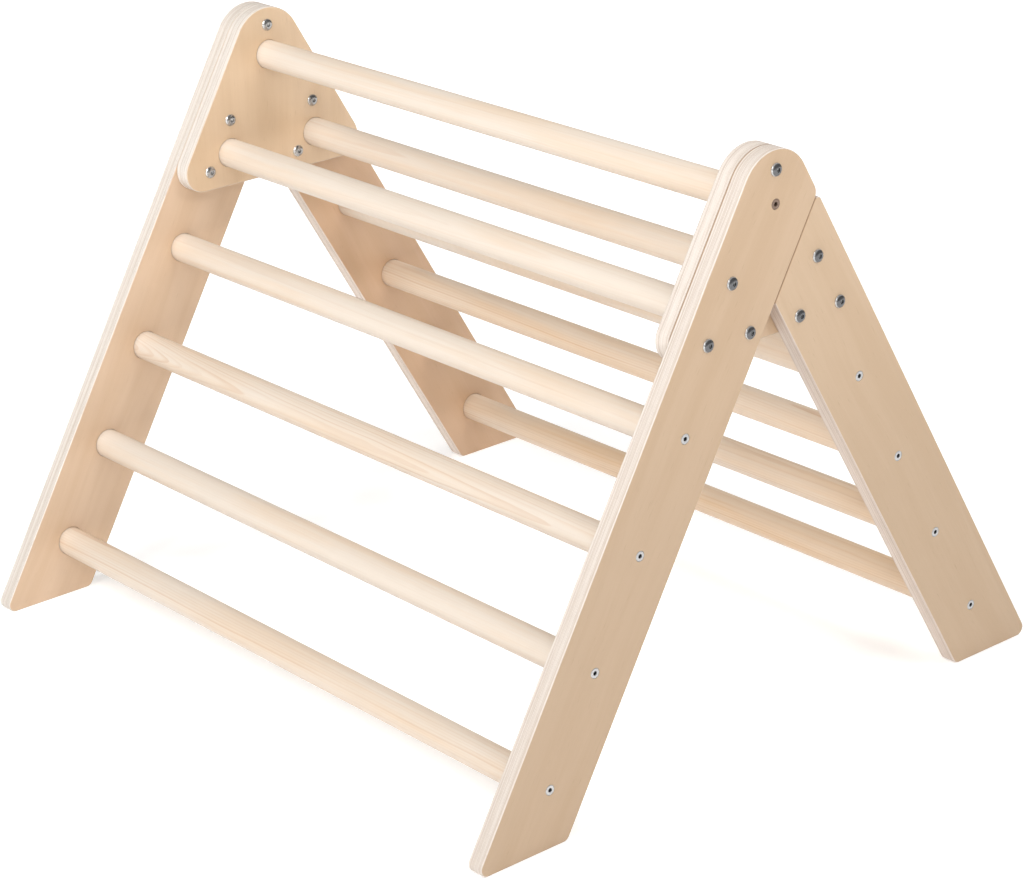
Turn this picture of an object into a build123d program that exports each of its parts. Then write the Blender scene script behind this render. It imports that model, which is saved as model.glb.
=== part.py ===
from build123d import *
import os
from math import cos, radians, sin, tan

# A free-standing wooden climbing triangle for toddlers. Two A-shaped side frames of
# birch plywood carry eleven round pine rungs. X runs along the rungs, Y from the front
# ladder (-Y) to the rear ladder (+Y) and Z up from the floor. The origin is on the
# floor, midway between the side frames and the ladders. All lengths are millimetres.

# Driving dimensions of the frame
overall_width = 776.0  # across the outer faces of the two side frames
top_rung_height = 533.0  # floor to the top rung's axis
ladder_angle = radians(30.25)  # each ladder's lean from the vertical
rung_pitch = 110.0  # between rung axes, along a ladder
rungs_per_ladder = 5  # below the top rung, which both ladders share
ply = 18.0  # thickness of legs and gussets
leg_width = 92.0
seam_gap = 0.3  # joint between the rear leg's top end and the front leg
gusset_height = 403.0  # floor to the gusset's level lower edge

# Corner rounding and edge easing
apex_radius = 42.0
shoulder_radius = 12.0  # front leg, at the upper end of the seam
rear_tip_radius = 5.0  # rear leg, at the upper end of the seam
crotch_radius = 3.0  # rear leg, at the lower end of the seam
foot_radius = 8.0
gusset_corner_radius = 22.0
plate_easing = 1.5

# Rungs and their blind sockets
rung_diameter = 30.0
rung_chamfer = 1.0
socket_diameter = 30.6
socket_depth = 10.0
socket_easing = 0.3

# Button-head bolts and the cap nuts that face them inside the gusset
head_diameter = 12.6
head_rim = 0.7
head_height = 3.3
head_flat_diameter = 5.4  # flat top round the hex socket
bolt_diameter = 6.0
bolt_length = 32.0
sleeve_diameter = 8.0
sleeve_length = 16.0
sleeve_end_wall = 2.0
bolt_hole_diameter = 8.4
top_bolt_rise = 31.5  # above the top rung's axis
bolt_triangle = ((79.0, 16.0), (137.0, 16.0), (112.0, -29.0))  # along and off a ladder

# Countersunk furniture screws into the rung ends
screw_head_diameter = 10.0
screw_head_bevel = 0.4
screw_head_rim = 0.8
screw_shoulder_diameter = 7.0
screw_core_diameter = 5.0
leg_screw_length = 50.0
top_screw_length = 70.0
screw_tip = 2.0
hex_socket_width = 4.0  # across flats
hex_socket_depth = 2.8
clearance = 0.1  # radial, round every screw and bolt

# Derived positions
half_width = leg_width / 2
leg_face = overall_width / 2 - ply  # inner face of a leg, outer face of a gusset
side_face = overall_width / 2
gusset_face = leg_face - ply  # inner face of a gusset
leg_rung_end = leg_face + socket_depth
gusset_rung_end = gusset_face + socket_depth
front = -1
rear = 1


def on_ladder(ladder, along, outward=0.0):
    """Point (Y, Z) at a distance along a ladder from the top rung, and off its line."""
    y = ladder * (along * sin(ladder_angle) + outward * cos(ladder_angle))
    z = top_rung_height - along * cos(ladder_angle) + outward * sin(ladder_angle)
    return (y, z)


def on_level(ladder, level, outward):
    """Point (Y, Z) where a line parallel to a ladder crosses a given height."""
    drop = top_rung_height - level + outward * sin(ladder_angle)
    return on_ladder(ladder, drop / cos(ladder_angle), outward)


def crossing(front_outward, rear_outward):
    """Point (Y, Z) where a line parallel to the front ladder meets one of the rear's."""
    spread = (rear_outward - front_outward) * tan(ladder_angle)
    along = (spread - (front_outward + rear_outward) / tan(ladder_angle)) / 2
    return on_ladder(rear, along, rear_outward)


def rung_centres(ladder):
    """Rung axes (Y, Z) of one ladder, from rung 1 at the top to the lowest."""
    return [on_ladder(ladder, rung_pitch * k) for k in range(1, rungs_per_ladder + 1)]


def bolt_centres(ladder):
    """Bolt axes (Y, Z) of the triangle round the first rung of one ladder."""
    return [on_ladder(ladder, along, outward) for along, outward in bolt_triangle]


def outward_at(x, centres):
    """Planes facing +X at the given (Y, Z) points."""
    return [Plane(origin=(x, y, z), z_dir=(1, 0, 0)) for y, z in centres]


def inward_at(x, centres):
    """Planes facing -X at the given (Y, Z) points."""
    return [Plane(origin=(x, y, z), z_dir=(-1, 0, 0)) for y, z in centres]


def eased_plate(x, corners, radii):
    """Plywood plate on the plane X = x with rounded corners and eased edges."""
    with BuildPart() as plate:
        with BuildSketch(Plane.YZ.offset(x)):
            with BuildLine():
                FilletPolyline(*corners, radius=radii, close=True)
            make_face()
        extrude(amount=ply)
        fillet(plate.faces().filter_by(Axis.X).edges(), radius=plate_easing)
    return plate.part


def cut_sockets(x, centres):
    """Cut blind rung sockets into the inner face at X = x of the current plate."""
    mouth = socket_diameter / 2
    with Locations(*inward_at(x, centres)):
        CounterSinkHole(mouth, mouth + socket_easing, depth=socket_depth, counter_sink_angle=90)


def cut_screw_seats(x, centres):
    """Drill through the current plate and countersink its face at X = x for flush heads."""
    seat = screw_head_diameter / 2 + clearance
    with Locations(*outward_at(x - screw_head_rim, centres)):
        CounterSinkHole(screw_shoulder_diameter / 2 + clearance, seat, counter_sink_angle=90)
    with Locations(*outward_at(x, centres)):
        Hole(seat, depth=screw_head_rim)


def cut_through(x, centres, diameter):
    """Drill plain holes through the current plate."""
    with Locations(*outward_at(x, centres)):
        Hole(diameter / 2)


def export_pair(right, name):
    """Write a piece of the right side frame and its mirror image on the left."""
    right.part.label = f"{name}_right"
    export_step(right.part, f"parts/{name}_right.step")
    with BuildPart() as left:
        mirror(right.part, about=Plane.YZ)
    left.part.label = f"{name}_left"
    export_step(left.part, f"parts/{name}_left.step")


def make_rung(name, centre, end):
    """One rung along X, with a screw pilot in each end."""
    y, z = centre
    with BuildPart() as rung:
        with BuildSketch(Plane.YZ.offset(-end)):
            with Locations((y, z)):
                Circle(rung_diameter / 2)
        extrude(amount=2 * end)
        chamfer(rung.faces().filter_by(Axis.X).edges(), length=rung_chamfer)
        with Locations(*outward_at(end, [centre]), *inward_at(-end, [centre])):
            Hole(screw_core_diameter / 2 + clearance, depth=leg_screw_length)
    rung.part.label = name
    export_step(rung.part, f"parts/{name}.step")


def button_head():
    """Domed round head with a hex socket, sitting on Z = 0."""
    rim = head_diameter / 2
    flat = head_flat_diameter / 2
    with BuildPart() as head:
        with BuildSketch(Plane.XZ):
            with BuildLine():
                Line((0, 0), (rim, 0))
                Line((rim, 0), (rim, head_rim))
                ThreePointArc((rim, head_rim), (0.77 * rim, 0.76 * head_height), (flat, head_height))
                Line((flat, head_height), (0, head_height))
                Line((0, head_height), (0, 0))
            make_face()
        revolve(axis=Axis.Z)
        with BuildSketch(Plane.XY.offset(head_height)):
            RegularPolygon(hex_socket_width / 2, 6, major_radius=False)
        extrude(amount=-hex_socket_depth, mode=Mode.SUBTRACT)
    return head.part


def furniture_screw(length, shoulder_length):
    """Countersunk screw with its head's top on Z = 0, pointing down."""
    head = screw_head_diameter / 2
    shoulder = screw_shoulder_diameter / 2
    core = screw_core_diameter / 2
    with BuildPart() as screw:
        with BuildSketch(Plane.XZ):
            with BuildLine():
                Polyline(
                    (0, 0),
                    (head - screw_head_bevel, 0),
                    (head, -screw_head_bevel),
                    (head, -screw_head_rim),
                    (shoulder, -screw_head_rim - head + shoulder),
                    (shoulder, -shoulder_length),
                    (core, -shoulder_length),
                    (core, -length + screw_tip),
                    (core / 2, -length),
                    (0, -length),
                    close=True,
                )
            make_face()
        revolve(axis=Axis.Z)
        with BuildSketch(Plane.XY):
            RegularPolygon(hex_socket_width / 2, 6, major_radius=False)
        extrude(amount=-hex_socket_depth, mode=Mode.SUBTRACT)
    return screw.part


os.makedirs("parts", exist_ok=True)

front_rungs = rung_centres(front)
rear_rungs = rung_centres(rear)
top_rung = (0.0, top_rung_height)
top_bolt = (0.0, top_rung_height + top_bolt_rise)
apex = crossing(half_width, half_width)

# Front leg: a full-length plank whose upper end is the rounded apex of the A
front_leg_corners = [
    on_level(front, 0, half_width),
    on_level(front, 0, -half_width),
    crossing(-half_width, half_width),
    apex,
]
with BuildPart() as front_leg:
    add(eased_plate(leg_face, front_leg_corners, [foot_radius, foot_radius, shoulder_radius, apex_radius]))
    cut_sockets(leg_face, front_rungs[1:])
    cut_screw_seats(side_face, [top_rung, *front_rungs[1:]])
    cut_through(side_face, [top_bolt, *bolt_centres(front)], bolt_hole_diameter)
export_pair(front_leg, "front_leg")

# Rear leg: butts against the front leg's rear edge along a slanting seam
rear_leg_corners = [
    on_level(rear, 0, half_width),
    on_level(rear, 0, -half_width),
    crossing(-half_width - seam_gap, -half_width),
    crossing(-half_width - seam_gap, half_width),
]
with BuildPart() as rear_leg:
    add(eased_plate(leg_face, rear_leg_corners, [foot_radius, foot_radius, crotch_radius, rear_tip_radius]))
    cut_sockets(leg_face, rear_rungs[1:])
    cut_screw_seats(side_face, rear_rungs[1:])
    cut_through(side_face, bolt_centres(rear), bolt_hole_diameter)
export_pair(rear_leg, "rear_leg")

# Gusset: an A-shaped plate on the legs' inner faces, which ties them together
gusset_corners = [
    on_level(front, gusset_height, half_width),
    on_level(rear, gusset_height, half_width),
    apex,
]
gusset_bolts = [top_bolt, *bolt_centres(front), *bolt_centres(rear)]
first_rungs = [front_rungs[0], rear_rungs[0]]
with BuildPart() as gusset:
    add(eased_plate(gusset_face, gusset_corners, [gusset_corner_radius, gusset_corner_radius, apex_radius]))
    cut_sockets(gusset_face, [top_rung, *first_rungs])
    cut_screw_seats(leg_face, first_rungs)
    cut_through(leg_face, [top_rung], screw_shoulder_diameter + 2 * clearance)
    cut_through(leg_face, gusset_bolts, bolt_hole_diameter)
export_pair(gusset, "gusset")

# Rungs: the top one and each ladder's first are held by the gussets, the rest by the legs
make_rung("rung_top", top_rung, gusset_rung_end)
for ladder_name, centres in (("front", front_rungs), ("rear", rear_rungs)):
    for number, centre in enumerate(centres, start=1):
        end = gusset_rung_end if number == 1 else leg_rung_end
        make_rung(f"rung_{ladder_name}_{number}", centre, end)

# Bolts through leg and gusset, head outside
with BuildPart() as bolt:
    add(button_head())
    with BuildSketch(Plane.XY):
        Circle(bolt_diameter / 2)
    extrude(amount=-bolt_length)
with BuildPart() as bolts:
    with Locations(*outward_at(side_face, gusset_bolts)):
        add(bolt.part)
export_pair(bolts, "gusset_bolts")

# Cap nuts: the same head on the gusset's inner face, with a sleeve round the bolt's end
with BuildPart() as cap_nut:
    add(button_head())
    with BuildSketch(Plane.XY):
        Circle(sleeve_diameter / 2)
    extrude(amount=-sleeve_length)
    with BuildSketch(Plane.XY.offset(-sleeve_length)):
        Circle(bolt_diameter / 2 + clearance)
    extrude(amount=sleeve_length - sleeve_end_wall, mode=Mode.SUBTRACT)
with BuildPart() as cap_nuts:
    with Locations(*inward_at(gusset_face, gusset_bolts)):
        add(cap_nut.part)
export_pair(cap_nuts, "gusset_cap_nuts")

# Screws into the ends of the rungs that the legs hold
with BuildPart() as rung_screws:
    with Locations(*outward_at(side_face, front_rungs[1:] + rear_rungs[1:])):
        add(furniture_screw(leg_screw_length, ply - socket_depth))
export_pair(rung_screws, "rung_screws")

# Longer screw through leg and gusset into each end of the top rung
with BuildPart() as top_rung_screw:
    with Locations(*outward_at(side_face, [top_rung])):
        add(furniture_screw(top_screw_length, side_face - gusset_rung_end))
export_pair(top_rung_screw, "top_rung_screw")

# Screws through the gussets into the first rungs, covered by the legs
with BuildPart() as hidden_screws:
    with Locations(*outward_at(leg_face, first_rungs)):
        add(furniture_screw(leg_screw_length, ply - socket_depth))
export_pair(hidden_screws, "hidden_rung_screws")
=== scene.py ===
import math
from collections import namedtuple

import bpy
from mathutils import Matrix, Vector


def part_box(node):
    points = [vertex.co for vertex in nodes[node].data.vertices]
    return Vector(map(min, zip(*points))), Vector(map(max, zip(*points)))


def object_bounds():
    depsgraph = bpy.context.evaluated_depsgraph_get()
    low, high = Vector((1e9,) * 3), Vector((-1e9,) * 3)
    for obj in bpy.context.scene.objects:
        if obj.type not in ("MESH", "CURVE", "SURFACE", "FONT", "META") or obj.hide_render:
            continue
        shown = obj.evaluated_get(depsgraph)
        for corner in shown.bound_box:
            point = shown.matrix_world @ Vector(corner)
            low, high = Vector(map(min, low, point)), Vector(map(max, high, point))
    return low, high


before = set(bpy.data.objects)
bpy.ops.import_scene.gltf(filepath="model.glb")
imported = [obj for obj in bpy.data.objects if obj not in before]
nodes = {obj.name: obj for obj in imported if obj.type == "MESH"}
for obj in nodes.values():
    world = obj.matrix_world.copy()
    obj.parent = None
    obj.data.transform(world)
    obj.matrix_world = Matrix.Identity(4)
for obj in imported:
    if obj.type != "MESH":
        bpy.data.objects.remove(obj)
cad_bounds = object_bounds()

# Everything is in metres, in the frame of the CAD model: X along the rungs, front ladder at -Y.
PLY = 0.018  # thickness of a board
PLIES = 13
LEG_WIDTH = 0.092
GUSSET_FACE = min(abs(corner.x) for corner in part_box("gusset_right"))  # inner face of a gusset
LEG_FACE = GUSSET_FACE + PLY  # where the legs meet a gusset
SIDE_FACE = GUSSET_FACE + 2 * PLY  # outer face of a leg
GUSSET_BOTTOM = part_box("gusset_right")[0].z
LADDERS = {"front": -1, "rear": 1}
SIDES = {"right": 1, "left": -1}


def centre(name):
    """Middle of a CAD node's box."""
    low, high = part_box(name)
    return (low + high) / 2


def ladder_lean():
    """Angle between a ladder and the vertical, from two of its rungs."""
    step = centre("rung_rear_5") - centre("rung_rear_1")
    return math.atan2(step.y, -step.z)


LEAN = ladder_lean()


def seam_offset():
    """Where the rear leg's end meets the front leg's rear edge, square to the front leg."""
    low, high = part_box("rung_front_1")
    on_line = (low + high) / 2
    line_offset = on_line.z * math.sin(LEAN) - on_line.y * math.cos(LEAN)
    return line_offset - LEG_WIDTH / 2


SEAM_OFFSET = seam_offset()


# ---------------------------------------------------------------- node tree helpers

MIX_COLOUR_INPUTS = (0, 6, 7)  # factor, A and B of a Mix node in colour mode
MIX_COLOUR_OUTPUT = 2


class Shader:
    """A new material and short calls that add nodes to it."""

    def __init__(self, name):
        self.material = bpy.data.materials.new(name)
        self.material.use_nodes = True
        self.tree = self.material.node_tree
        self.surface = self.tree.nodes["Principled BSDF"]

    def node(self, kind, **inputs):
        """Add a node and set or link its inputs by name."""
        made = self.tree.nodes.new(kind)
        for name, value in inputs.items():
            self.feed(made.inputs[name.replace("_", " ")], value)
        return made

    def feed(self, socket, value):
        """Link an output into a socket, or set the socket's own value."""
        if isinstance(value, bpy.types.NodeSocket):
            self.tree.links.new(value, socket)
        else:
            socket.default_value = value

    def position(self):
        """Place of the shaded point in the model's frame."""
        return self.node("ShaderNodeTexCoord").outputs["Object"]

    def placed(self, vector, location=(0, 0, 0), rotation=(0, 0, 0), scale=(1, 1, 1)):
        """The vector scaled, turned and shifted."""
        made = self.node("ShaderNodeMapping", Vector=vector)
        made.inputs["Location"].default_value = location
        made.inputs["Rotation"].default_value = rotation
        made.inputs["Scale"].default_value = scale
        return made.outputs["Vector"]

    def split(self, vector):
        """X, Y and Z of a vector."""
        made = self.node("ShaderNodeSeparateXYZ", Vector=vector)
        return made.outputs["X"], made.outputs["Y"], made.outputs["Z"]

    def join(self, x, y, z):
        """A vector from three numbers."""
        return self.node("ShaderNodeCombineXYZ", X=x, Y=y, Z=z).outputs["Vector"]

    def math(self, operation, *values):
        """One arithmetic step."""
        made = self.tree.nodes.new("ShaderNodeMath")
        made.operation = operation
        for socket, value in zip(made.inputs, values):
            self.feed(socket, value)
        return made.outputs["Value"]

    def noise(self, vector, scale=1.0, detail=2.0, roughness=0.5):
        """Soft noise about 0.5."""
        made = self.node("ShaderNodeTexNoise", Vector=vector, Scale=scale, Detail=detail)
        made.inputs["Roughness"].default_value = roughness
        return made.outputs["Fac"]

    def white_noise(self, value):
        """A random number for each value."""
        made = self.tree.nodes.new("ShaderNodeTexWhiteNoise")
        made.noise_dimensions = "1D"
        self.feed(made.inputs["W"], value)
        return made.outputs["Value"]

    def add(self, first, second):
        """Sum of two vectors."""
        made = self.tree.nodes.new("ShaderNodeVectorMath")
        self.feed(made.inputs[0], first)
        self.feed(made.inputs[1], second)
        return made.outputs["Vector"]

    def steps(self, value, low, high, to_low=0.0, to_high=1.0):
        """Smooth step of a value from one range to another."""
        made = self.tree.nodes.new("ShaderNodeMapRange")
        made.interpolation_type = "SMOOTHSTEP"
        made.inputs["From Min"].default_value = low
        made.inputs["From Max"].default_value = high
        made.inputs["To Min"].default_value = to_low
        made.inputs["To Max"].default_value = to_high
        self.feed(made.inputs["Value"], value)
        return made.outputs["Result"]

    def mix(self, factor, first, second, blend="MIX"):
        """Two colours mixed by a factor."""
        made = self.tree.nodes.new("ShaderNodeMix")
        made.data_type = "RGBA"
        made.blend_type = blend
        factor_socket, first_socket, second_socket = (made.inputs[k] for k in MIX_COLOUR_INPUTS)
        self.feed(factor_socket, factor)
        self.feed(first_socket, first)
        self.feed(second_socket, second)
        return made.outputs[MIX_COLOUR_OUTPUT]

    def bump(self, height, distance, strength=1.0):
        """Fine relief from a height between 0 and 1, in metres."""
        made = self.node("ShaderNodeBump", Height=height, Distance=distance, Strength=strength)
        self.feed(self.surface.inputs["Normal"], made.outputs["Normal"])


def rgb(red, green, blue):
    """An opaque colour."""
    return (red, green, blue, 1.0)


# ---------------------------------------------------------------- materials

VENEER_PALE = rgb(0.635, 0.467, 0.317)
VENEER_WARM = rgb(0.595, 0.426, 0.277)
VENEER_FLECK = rgb(0.44, 0.30, 0.18)
PLY_PALE = rgb(0.75, 0.685, 0.63)
PLY_DARK = rgb(0.58, 0.48, 0.40)
GLUE = rgb(0.30, 0.22, 0.17)
JOINT_SHADE = rgb(0.25, 0.16, 0.10)
SEAM_SHADE = rgb(0.42, 0.27, 0.165)
PINE_EARLY = rgb(0.645, 0.565, 0.482)
PINE_WARM = rgb(0.645, 0.465, 0.305)
PINE_LATE = rgb(0.50, 0.31, 0.18)

# Noise of the boards, in waves per metre through the board, across its grain and along it
GRAIN_DRIFT = (6, 6, 2)
FIGURE = (9, 42, 2.6)
BOARD_FIBRES = (500, 1500, 22)
FLECKS = (300, 900, 70)
EDGE_STREAKS = (900, 60, 12)
EDGE_PORES = (1500, 900, 160)
PLY_WANDER = (40, 14, 14)

# Noise of the rungs, in waves per metre along the rung and across it
RING_SWAY = (2.6, 14, 14)
RING_RIPPLE = (16, 110, 110)
RING_PATCHES = (5, 70, 70)
PINE_FIBRES = (14, 900, 900)
PINE_STREAKS = (7, 190, 190)
PINE_TINT = (4, 40, 40)

# Distances in metres
DRIFT_REACH = 0.06  # how far the veneer's grain sways across itself
WANDER_REACH = 0.0005  # how far the plies rise and fall
SWAY_REACH = 0.007  # how far a rung's rings sway
RIPPLE_REACH = 0.0011  # how far they ripple
BEND_REACH = 0.10  # how far along a rung its bent pith reaches
FACE_TO_EDGE = (0.0001, 0.0004)  # depth at which a board's face veneer ends
SEAM_FADE = (0.0010, 0.0020)
JOINT_FADE = (0.0005, 0.0013)
GUSSET_END = 0.001  # half the height over which joint shading stops at a gusset's foot
BOARD_RELIEF = 0.00006
PINE_RELIEF = 0.00005
STEEL_RELIEF = 0.00001

SEAM_DEPTH = 0.9  # how strongly the seam is shaded
RINGS_PER_METRE = 380.0
LEFT_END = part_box("rung_front_3")[0].x  # where a bent trunk leaves its arches

# How each rung was cut: direction of the pith in degrees from +Y towards +Z, its distance
# and tilt, how strongly the rings show, how orange the wood is and how much more so towards
# +X, the pith's bend at the left end, and a seed for its noise
Wood = namedtuple("Wood", "bearing pith tilt contrast warmth warmer_to_right bend seed")
RUNG_WOODS = {
    "rung_top": Wood(95, 0.060, 0.004, 0.20, 0.10, 0.10, 0.0, 1.0),
    "rung_front_1": Wood(148, 0.045, 0.010, 0.14, 0.02, 0.0, 0.0, 2.0),
    "rung_front_2": Wood(120, 0.055, -0.006, 0.22, 0.08, 0.05, 0.0, 3.0),
    "rung_front_3": Wood(171, 0.042, 0.006, 0.50, 0.16, 0.10, -0.016, 4.0),
    "rung_front_4": Wood(60, 0.070, 0.003, 0.12, 0.02, 0.05, 0.0, 5.0),
    "rung_front_5": Wood(78, 0.050, 0.002, 0.55, 0.16, 0.10, 0.0, 6.0),
    "rung_rear_1": Wood(140, 0.050, 0.012, 0.25, 0.25, 0.30, 0.0, 7.0),
    "rung_rear_2": Wood(30, 0.060, 0.005, 0.30, 0.25, 0.20, 0.0, 8.0),
    "rung_rear_3": Wood(100, 0.045, -0.010, 0.75, 0.50, 0.10, 0.0, 9.0),
    "rung_rear_4": Wood(112, 0.050, 0.008, 0.80, 0.25, 0.80, 0.0, 10.0),
    "rung_rear_5": Wood(118, 0.040, 0.006, 0.85, 0.70, 0.60, 0.0, 11.0),
}

# Factors on the colour of each board's face veneer and sawn edge, partly the board's own
# tone and partly painted light and shade: the far front leg and far gusset paler, the near
# legs and the far rear leg darker, and the near rear leg's edges darker for the shade in the
# crook between the legs; and how strongly the joint between leg and gusset is shaded
Board = namedtuple("Board", "face edge joint")
BOARDS = {
    "front_leg_right": Board(rgb(0.895, 0.87, 0.845), rgb(0.885, 0.875, 0.86), 0.8),
    "rear_leg_right": Board(rgb(0.92, 0.905, 0.885), rgb(0.86, 0.805, 0.77), 0.5),
    "gusset_right": Board(rgb(1.0, 1.0, 1.0), rgb(0.90, 0.89, 0.875), 0.8),
    "front_leg_left": Board(rgb(1.10, 1.09, 1.12), rgb(0.97, 0.985, 0.98), 0.35),
    "rear_leg_left": Board(rgb(0.99, 0.90, 0.855), rgb(1.01, 0.95, 0.91), 0.35),
    "gusset_left": Board(rgb(1.05, 1.05, 1.035), rgb(0.97, 0.985, 0.98), 0.35),
}

# Colour of a head's top, colour of its rim or socket, roughness and metallic. The pale
# rims are a painted reflection of the bright floor, and the dark sockets painted shade
Plating = namedtuple("Plating", "top deep roughness metallic")
NICKEL_DARK = Plating(rgb(0.15, 0.15, 0.155), rgb(0.62, 0.62, 0.62), 0.20, 0.6)
NICKEL_BRIGHT = Plating(rgb(0.42, 0.41, 0.40), rgb(0.72, 0.71, 0.70), 0.20, 0.8)
# The zinc's dark socket colour is painted shade in the recess
ZINC_BRIGHT = Plating(rgb(0.53, 0.53, 0.53), rgb(0.20, 0.20, 0.21), 0.30, 0.85)
BRONZE_DARK = Plating(rgb(0.24, 0.165, 0.125), rgb(0.24, 0.17, 0.13), 0.34, 0.6)
HEAD_RIM = (0.0013, 0.0021)  # heights above the wood at which a button head's rim ends
SCREW_RECESS = (-0.0012, -0.0008)  # depths at which a countersunk head's socket begins


def swayed_grain(s, along):
    """Grain coordinates of a board, swaying gently across the grain."""
    drift = s.noise(s.placed(along, scale=GRAIN_DRIFT), 1.0, 2.0)
    return s.add(along, s.join(0.0, s.math("MULTIPLY", drift, DRIFT_REACH), 0.0))


def face_veneer(s, grain, fibres, z, tint):
    """Colour of a board's face: soft figure, fine fibres and short dark flecks along the
    grain, times the board's factor, and painted light that makes it a little brighter
    towards the top."""
    figure = s.noise(s.placed(grain, scale=FIGURE), 1.0, 3.0, 0.55)
    flecks = s.noise(s.placed(grain, scale=FLECKS), 1.0, 1.0, 0.5)
    warm = s.math("ADD", s.steps(figure, 0.32, 0.68), s.math("SUBTRACT", fibres, 0.5))
    face = s.mix(warm, VENEER_PALE, VENEER_WARM)
    face = s.mix(s.steps(flecks, 0.68, 0.80, 0.0, 0.35), face, VENEER_FLECK)
    # The board's factor: its own tone, and painted light and shade
    face = s.mix(1.0, face, tint, "MULTIPLY")
    # Painted light: the face turns a little brighter towards the top
    return s.mix(1.0, face, s.steps(z, 0.2, 0.52, 0.965, 1.06), "MULTIPLY")


def ply_layer(s, place, depth_in):
    """Number of the ply at a depth in the board. Its fraction is the place within the ply."""
    wander = s.math("SUBTRACT", s.noise(s.placed(place, scale=PLY_WANDER), 1.0, 2.0), 0.5)
    depth = s.math("ADD", depth_in, s.math("MULTIPLY", wander, WANDER_REACH))
    return s.math("MULTIPLY", depth, PLIES / PLY)


def sawn_edge(s, grain, layer, near_glue, seed, tint):
    """Colour of a board's edge: plies of uneven tone with broken fibres, and thin glue lines
    of uneven strength."""
    index = s.math("ADD", s.math("FLOOR", layer), seed)
    ply_tone = s.steps(s.white_noise(index), 0.45, 1.0, 0.0, 0.6)
    glue_tone = s.steps(s.white_noise(s.math("ADD", index, 0.37)), 0.2, 0.9, 0.15, 1.0)
    streaks = s.noise(s.placed(grain, scale=EDGE_STREAKS), 1.0, 3.0, 0.6)
    pores = s.noise(s.placed(grain, scale=EDGE_PORES), 1.0, 2.0, 0.6)
    worn = s.math("ADD", ply_tone, s.steps(streaks, 0.42, 0.72, 0.0, 0.55))
    edge = s.mix(worn, PLY_PALE, PLY_DARK)
    edge = s.mix(s.steps(pores, 0.58, 0.74, 0.0, 0.22), edge, GLUE)
    line = s.math("MULTIPLY", s.steps(near_glue, 0.03, 0.20, 0.85, 0.0), glue_tone)
    edge = s.mix(line, edge, GLUE)
    # The board's factor: its own tone, and painted shade that darkens the near rear leg's edges
    return s.mix(1.0, edge, tint, "MULTIPLY")


def shaded_joints(s, edge, x, y, z, joint_depth):
    """The edge colour, darker where the rear leg meets the front leg and a leg its gusset."""
    upward = s.math("MULTIPLY", z, math.sin(LEAN))
    rearward = s.math("MULTIPLY", y, math.cos(LEAN))
    off_front = s.math("SUBTRACT", upward, rearward)
    from_seam = s.math("ABSOLUTE", s.math("SUBTRACT", off_front, SEAM_OFFSET))
    from_gusset = s.math("ABSOLUTE", s.math("SUBTRACT", s.math("ABSOLUTE", x), LEG_FACE))
    joined = s.steps(z, GUSSET_BOTTOM - GUSSET_END, GUSSET_BOTTOM + GUSSET_END)
    seam = s.math("MULTIPLY", s.steps(from_seam, *SEAM_FADE, SEAM_DEPTH, 0.0), joined)
    joint = s.math("MULTIPLY", s.steps(from_gusset, *JOINT_FADE, joint_depth, 0.0), joined)
    edge = s.mix(seam, edge, SEAM_SHADE)
    return s.mix(joint, edge, JOINT_SHADE)


def birch_plywood(name, first_face, turn, shift, board):
    """Lacquered birch plywood. Plies lie in planes of constant X, and the face grain runs
    along Z once the pattern is turned about X. first_face is the lowest |X| of the board."""
    s = Shader(name)
    place = s.position()
    x, y, z = s.split(place)
    grain = swayed_grain(s, s.placed(place, location=shift, rotation=(turn, 0, 0)))
    fibres = s.noise(s.placed(grain, scale=BOARD_FIBRES), 1.0, 2.0, 0.6)
    face = face_veneer(s, grain, fibres, z, board.face)

    depth_in = s.math("SUBTRACT", s.math("ABSOLUTE", x), first_face)
    layer = ply_layer(s, place, depth_in)
    within = s.math("FRACT", layer)
    near_glue = s.math("MINIMUM", within, s.math("SUBTRACT", 1.0, within))
    edge = sawn_edge(s, grain, layer, near_glue, 40.0 * sum(shift), board.edge)
    edge = shaded_joints(s, edge, x, y, z, board.joint)

    surface_depth = s.math("MINIMUM", depth_in, s.math("SUBTRACT", PLY, depth_in))
    is_edge = s.steps(surface_depth, *FACE_TO_EDGE)
    s.feed(s.surface.inputs["Base Color"], s.mix(is_edge, face, edge))
    gloss = s.math("ADD", s.math("MULTIPLY", fibres, 0.12), s.math("MULTIPLY", is_edge, 0.14))
    s.feed(s.surface.inputs["Roughness"], s.math("ADD", gloss, 0.36))
    face_relief = s.math("MULTIPLY", fibres, s.math("SUBTRACT", 1.0, is_edge))
    edge_relief = s.math("MULTIPLY", s.steps(near_glue, 0.0, 0.2), is_edge)
    s.bump(s.math("ADD", face_relief, edge_relief), BOARD_RELIEF)
    return s.material


def pith_distance(s, turned, along, wood):
    """Distance from the pith, disturbed by slow sway and fine ripple."""
    y, z = s.split(turned)[1:]
    sway = s.math("SUBTRACT", s.noise(s.placed(turned, scale=RING_SWAY), 1.0, 2.0), 0.5)
    ripple = s.math("SUBTRACT", s.noise(s.placed(turned, scale=RING_RIPPLE), 1.0, 2.0), 0.5)
    from_end = s.math("MULTIPLY", s.math("SUBTRACT", LEFT_END, along), 1.0 / BEND_REACH)
    bend = s.math("MULTIPLY", s.math("EXPONENT", from_end), wood.bend)
    tilted = s.math("ADD", s.math("MULTIPLY", along, wood.tilt), wood.pith)
    across = s.math("ADD", s.math("ADD", y, tilted), bend)
    squares = s.math("ADD", s.math("POWER", across, 2.0), s.math("POWER", z, 2.0))
    radius = s.math("ADD", s.math("SQRT", squares), s.math("MULTIPLY", sway, SWAY_REACH))
    return s.math("ADD", radius, s.math("MULTIPLY", ripple, RIPPLE_REACH))


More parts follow.
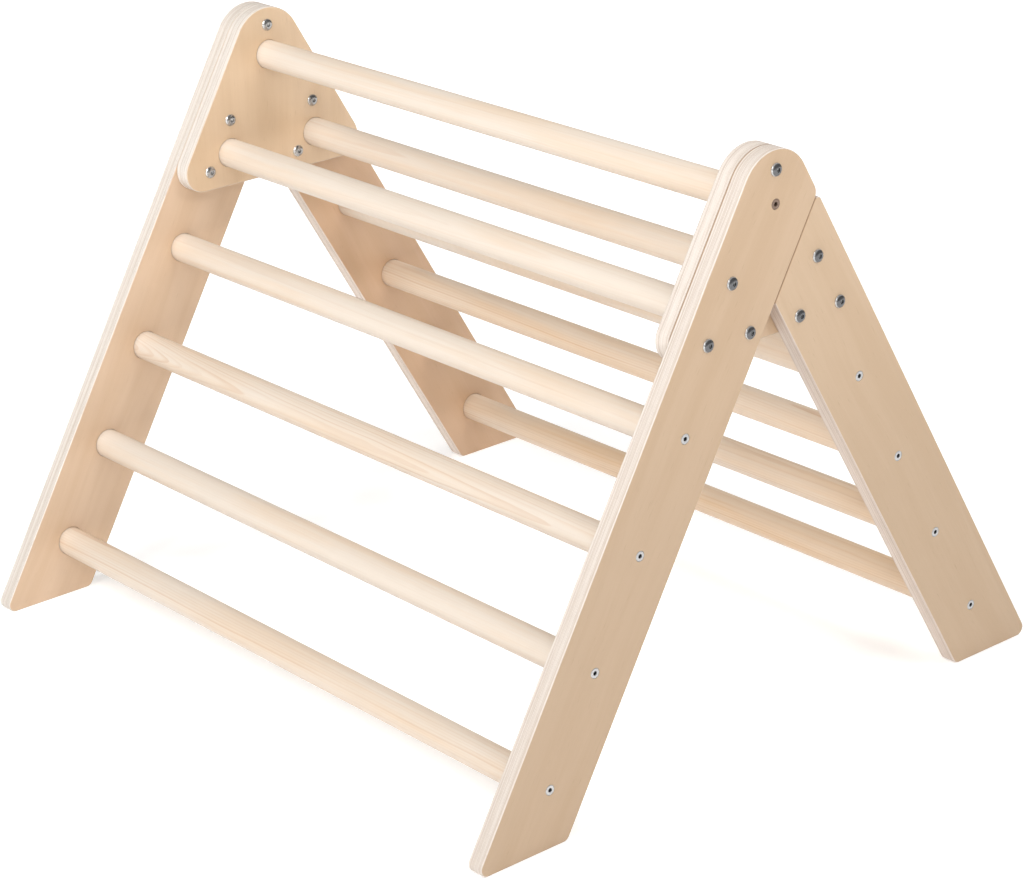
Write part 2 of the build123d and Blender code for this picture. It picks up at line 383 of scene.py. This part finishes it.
def late_wood(s, turned, radius, seed):
    """How dark the rings are: late wood at the end of each ring, of uneven strength."""
    uneven = s.noise(s.join(s.math("MULTIPLY", radius, 160.0), seed, 0.0), 1.0, 1.0)
    even_rings = s.math("MULTIPLY", radius, RINGS_PER_METRE)
    rings = s.math("ADD", even_rings, s.math("MULTIPLY", uneven, 1.3))
    ring = s.math("FRACT", rings)
    late = s.math("MULTIPLY", s.steps(ring, 0.40, 0.92), s.steps(ring, 0.93, 1.0, 1.0, 0.0))
    strength = s.white_noise(s.math("ADD", s.math("FLOOR", rings), seed))
    late = s.math("MULTIPLY", late, s.steps(strength, 0.1, 1.0, 0.25, 1.0))
    patches = s.noise(s.placed(turned, scale=RING_PATCHES), 1.0, 2.0)
    return s.math("MULTIPLY", late, s.steps(patches, 0.3, 0.65, 0.35, 1.0))


def early_wood(s, turned, along, fibres, wood):
    """Ground colour: cream to orange in long soft patches, with broken fibres."""
    streaks = s.noise(s.placed(turned, scale=PINE_STREAKS), 1.0, 3.0, 0.6)
    tint = s.noise(s.placed(turned, scale=PINE_TINT), 1.0, 2.0)
    warm = s.math("ADD", s.math("MULTIPLY", along, wood.warmer_to_right), wood.warmth)
    warm = s.math("ADD", warm, s.steps(tint, 0.28, 0.72, -0.18, 0.22))
    warm = s.math("ADD", warm, s.steps(streaks, 0.3, 0.7, -0.12, 0.14))
    ground = s.mix(warm, PINE_EARLY, PINE_WARM)
    return s.mix(s.steps(fibres, 0.45, 0.8, 0.0, 0.10), ground, PINE_LATE)


def pine(name, axis_at, wood):
    """Clear-lacquered pine turned into a dowel along X. The rings are cylinders round a pith
    line that passes the dowel at a distance and a small tilt, so they show as straight lines
    on its sides and as long arches where the rings touch its surface."""
    s = Shader(name)
    place = s.placed(s.position(), location=(0, -axis_at.y, -axis_at.z))
    facing = math.pi - math.radians(wood.bearing)
    turned = s.placed(place, location=(wood.seed, 0, 0), rotation=(facing, 0, 0))
    along = s.math("SUBTRACT", s.split(turned)[0], wood.seed)
    late = late_wood(s, turned, pith_distance(s, turned, along, wood), wood.seed)
    fibres = s.noise(s.placed(turned, scale=PINE_FIBRES), 1.0, 2.0, 0.6)
    ground = early_wood(s, turned, along, fibres, wood)
    colour = s.mix(s.math("MULTIPLY", late, wood.contrast), ground, PINE_LATE)
    s.feed(s.surface.inputs["Base Color"], colour)
    s.feed(s.surface.inputs["Roughness"], s.math("ADD", s.math("MULTIPLY", fibres, 0.14), 0.38))
    s.bump(s.math("ADD", fibres, s.math("MULTIPLY", late, 0.5)), PINE_RELIEF)
    return s.material


def plated_steel(name, plating, span):
    """Plated steel with faint scratches and uneven polish. Its colour turns from deep to top
    over a span of |X|, so that rims and sockets differ from the tops of the heads: pale rims
    are a painted reflection and dark sockets painted shade."""
    s = Shader(name)
    place = s.position()
    x = s.split(place)[0]
    cloud = s.noise(place, 260.0, 3.0, 0.6)
    scratches = s.placed(place, rotation=(0.6, 0.2, 0), scale=(4000, 4000, 300))
    marks = s.noise(scratches, 1.0, 2.0, 0.6)
    tone = s.mix(s.steps(s.math("ABSOLUTE", x), *span), plating.deep, plating.top)
    tone = s.mix(1.0, tone, s.steps(cloud, 0.3, 0.7, 1.0, 0.86), "MULTIPLY")
    s.feed(s.surface.inputs["Base Color"], tone)
    s.surface.inputs["Metallic"].default_value = plating.metallic
    rough = s.math("ADD", s.math("MULTIPLY", cloud, 0.12), plating.roughness - 0.06)
    s.feed(s.surface.inputs["Roughness"], s.math("ADD", rough, s.math("MULTIPLY", marks, 0.06)))
    s.bump(marks, STEEL_RELIEF)
    return s.material


# ---------------------------------------------------------------- dressing the CAD pieces

def dress(name, material):
    """Put one material on every slot of a CAD node."""
    slots = nodes[name].material_slots
    for slot in slots:
        slot.material = material
    if not slots:
        nodes[name].data.materials.append(material)


def dress_side_frames():
    """Plywood for the legs, with the grain along each leg, and for the gussets."""
    for side, sign in SIDES.items():
        for ladder, way in LADDERS.items():
            name = f"{ladder}_leg_{side}"
            shift = (0.31 * sign, 0.17 * way, 0.43 * sign * way)
            board = birch_plywood(f"birch_{name}", LEG_FACE, -way * LEAN, shift, BOARDS[name])
            dress(name, board)
        name = f"gusset_{side}"
        shift = (0.2, 0.7 * sign, 0.1)
        dress(name, birch_plywood(f"birch_{name}", GUSSET_FACE, 0.0, shift, BOARDS[name]))


def dress_rungs():
    """A different cut of pine for every rung."""
    for name, wood in RUNG_WOODS.items():
        dress(name, pine(f"pine_{name}", centre(name), wood))


def dress_fasteners():
    """Platings for the visible heads, and the same zinc for the covered screws. Button heads
    have pale rims and sockets, the rims a painted reflection, and countersunk heads have
    sockets darkened with painted shade."""
    bolt_span = [SIDE_FACE + height for height in HEAD_RIM]
    nut_span = [GUSSET_FACE - height for height in HEAD_RIM]
    screw_span = [SIDE_FACE + height for height in SCREW_RECESS]
    bolts = plated_steel("nickel_dark", NICKEL_DARK, bolt_span)
    nuts = plated_steel("nickel_bright", NICKEL_BRIGHT, nut_span)
    zinc = plated_steel("zinc_bright", ZINC_BRIGHT, screw_span)
    bronze = plated_steel("bronze_dark", BRONZE_DARK, screw_span)
    for side in SIDES:
        dress(f"gusset_bolts_{side}", bolts)
        dress(f"gusset_cap_nuts_{side}", nuts)
        dress(f"rung_screws_{side}", zinc)
        dress(f"hidden_rung_screws_{side}", zinc)
        dress(f"top_rung_screw_{side}", bronze)


# ---------------------------------------------------------------- stage, light and camera

FLOOR_SIZE = 240.0
FLOOR_WHITE = rgb(0.86, 0.86, 0.855)
FLOOR_ROUGHNESS = 0.85
FLOOR_GLOW_NEAR = 0.30
FLOOR_GLOW_FAR = 1.0
GLOW_GROWS = (0.9, 3.5)  # distances from the origin between which the floor's glow grows
WORLD_LIGHT = 0.02
BACKDROP_WHITE = 1.0

# Name, place, size of the square panel, power in watts, whether it shows in reflections
PANELS = (
    ("front", (0.0, -3.6, 1.2), 2.4, 19.0, True),
    ("front_high", (0.0, -2.6, 2.8), 2.0, 109.0, True),
    ("camera_fill", (2.6, -3.0, 2.0), 2.0, 16.0, True),
    ("right_high", (2.4, 0.4, 3.0), 2.0, 46.5, False),
    ("right_front", (2.2, -1.6, 2.8), 1.2, 17.0, False),
    ("overhead_spot", (1.4, 0.0, 3.0), 0.6, 4.0, False),
    ("back_high", (0.0, 2.8, 2.8), 2.4, 84.0, False),
)

CAMERA_PLACE = Vector((2.20205, -1.85075, 1.35249))
CAMERA_AZIMUTH = math.radians(49.653)
CAMERA_DOWN = math.radians(21.826)
CAMERA_ROLL = math.radians(-1.577)
CAMERA_LENS = 108.62
SENSOR_WIDTH = 36.0
CLIP_END = 400.0


def pale_floor():
    """Matt white studio floor that glows a little by the object and turns pure white far off."""
    s = Shader("floor_white")
    s.surface.inputs["Base Color"].default_value = FLOOR_WHITE
    s.surface.inputs["Roughness"].default_value = FLOOR_ROUGHNESS
    s.surface.inputs["Emission Color"].default_value = rgb(1.0, 1.0, 1.0)
    reach = s.node("ShaderNodeVectorMath", Vector=s.position())
    reach.operation = "LENGTH"
    glow = s.steps(reach.outputs["Value"], *GLOW_GROWS, FLOOR_GLOW_NEAR, FLOOR_GLOW_FAR)
    s.feed(s.surface.inputs["Emission Strength"], glow)
    return s.material


def add_floor():
    """A large pale floor under the feet."""
    half = FLOOR_SIZE / 2
    mesh = bpy.data.meshes.new("floor")
    corners = [(-half, -half, 0), (half, -half, 0), (half, half, 0), (-half, half, 0)]
    mesh.from_pydata(corners, [], [(0, 1, 2, 3)])
    mesh.materials.append(pale_floor())
    floor = bpy.data.objects.new("floor", mesh)
    bpy.context.scene.collection.objects.link(floor)


def add_lights():
    """Soft square panels aimed at the middle of the object."""
    low, high = cad_bounds
    middle = (Vector(low) + Vector(high)) / 2
    for name, place, size, power, mirrored in PANELS:
        light = bpy.data.lights.new(name, "AREA")
        light.size = size
        light.energy = power
        panel = bpy.data.objects.new(name, light)
        panel.location = place
        panel.visible_glossy = mirrored
        panel.rotation_euler = (middle - Vector(place)).to_track_quat("-Z", "Y").to_euler()
        bpy.context.scene.collection.objects.link(panel)


def add_surround():
    """A surround that lights dimly and evenly, and is white where it is seen directly."""
    world = bpy.data.worlds.new("surround")
    world.use_nodes = True
    tree = world.node_tree
    background = tree.nodes["Background"]
    background.inputs["Color"].default_value = rgb(1.0, 1.0, 1.0)
    path = tree.nodes.new("ShaderNodeLightPath")
    strength = tree.nodes.new("ShaderNodeMapRange")
    strength.inputs["To Min"].default_value = WORLD_LIGHT
    strength.inputs["To Max"].default_value = BACKDROP_WHITE
    tree.links.new(path.outputs["Is Camera Ray"], strength.inputs["Value"])
    tree.links.new(strength.outputs["Result"], background.inputs["Strength"])
    bpy.context.scene.world = world


def add_camera():
    """Long lens at an adult's chest height, looking down on the frame's right front."""
    camera = bpy.data.cameras.new("camera")
    camera.lens = CAMERA_LENS
    camera.sensor_width = SENSOR_WIDTH
    camera.sensor_fit = "HORIZONTAL"
    camera.clip_end = CLIP_END
    holder = bpy.data.objects.new("camera", camera)
    turn = Matrix.Rotation(CAMERA_AZIMUTH, 4, "Z")
    tip = Matrix.Rotation(math.pi / 2 - CAMERA_DOWN, 4, "X")
    roll = Matrix.Rotation(CAMERA_ROLL, 4, "Z")
    holder.matrix_world = Matrix.Translation(CAMERA_PLACE) @ turn @ tip @ roll
    bpy.context.scene.collection.objects.link(holder)
    bpy.context.scene.camera = holder


dress_side_frames()
dress_rungs()
dress_fasteners()
add_floor()
add_lights()
add_surround()
add_camera()
bpy.context.scene.view_settings.view_transform = "Standard"
